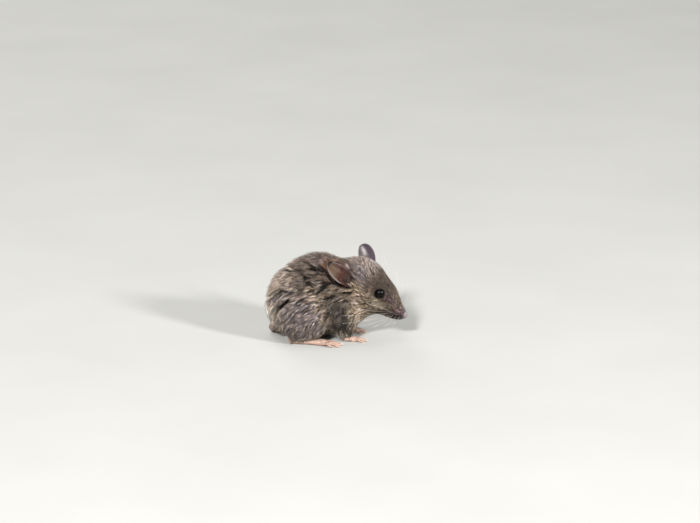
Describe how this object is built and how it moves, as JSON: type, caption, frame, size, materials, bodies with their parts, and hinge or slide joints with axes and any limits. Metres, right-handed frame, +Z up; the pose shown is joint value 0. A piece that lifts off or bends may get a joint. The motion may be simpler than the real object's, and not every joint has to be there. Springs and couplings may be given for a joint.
{
  "type": "field mouse",
  "caption": "Still life-size model of a field mouse, crouched with its head low, one ear laid back and its tail round behind it.",
  "frame": {"origin": "on the floor under the middle of the animal's box", "axes": "+X towards the nose, +Y to the animal's left, +Z up"},
  "size_m": [0.0484, 0.0396, 0.0303],
  "materials": {
    "coat": "short dense agouti fur, grey at the roots, with ochre bands and dark tips",
    "bare_skin": "thin pinkish skin with fine down, scaled in rings on the tail",
    "nose": "moist pink nose leather",
    "eye": "wet glossy black",
    "claw": "pale translucent horn",
    "whisker": "stiff dark hair"
  },
  "bodies": {
    "root": {"nose": "nose", "eye_left": "eye", "eye_right": "eye", "ear_left": "bare_skin", "ear_right": "bare_skin", "hind_leg_left": "coat", "hind_foot_left": "bare_skin", "foreleg_left": "coat", "forepaw_left": "bare_skin", "hind_leg_right": "coat", "hind_foot_right": "bare_skin", "foreleg_right": "coat", "forepaw_right": "bare_skin", "tail_root": "bare_skin", "tail_middle": "bare_skin", "tail_tip": "bare_skin", "trunk": "coat", "neck": "coat", "head": "coat"}
  },
  "joints": []
}
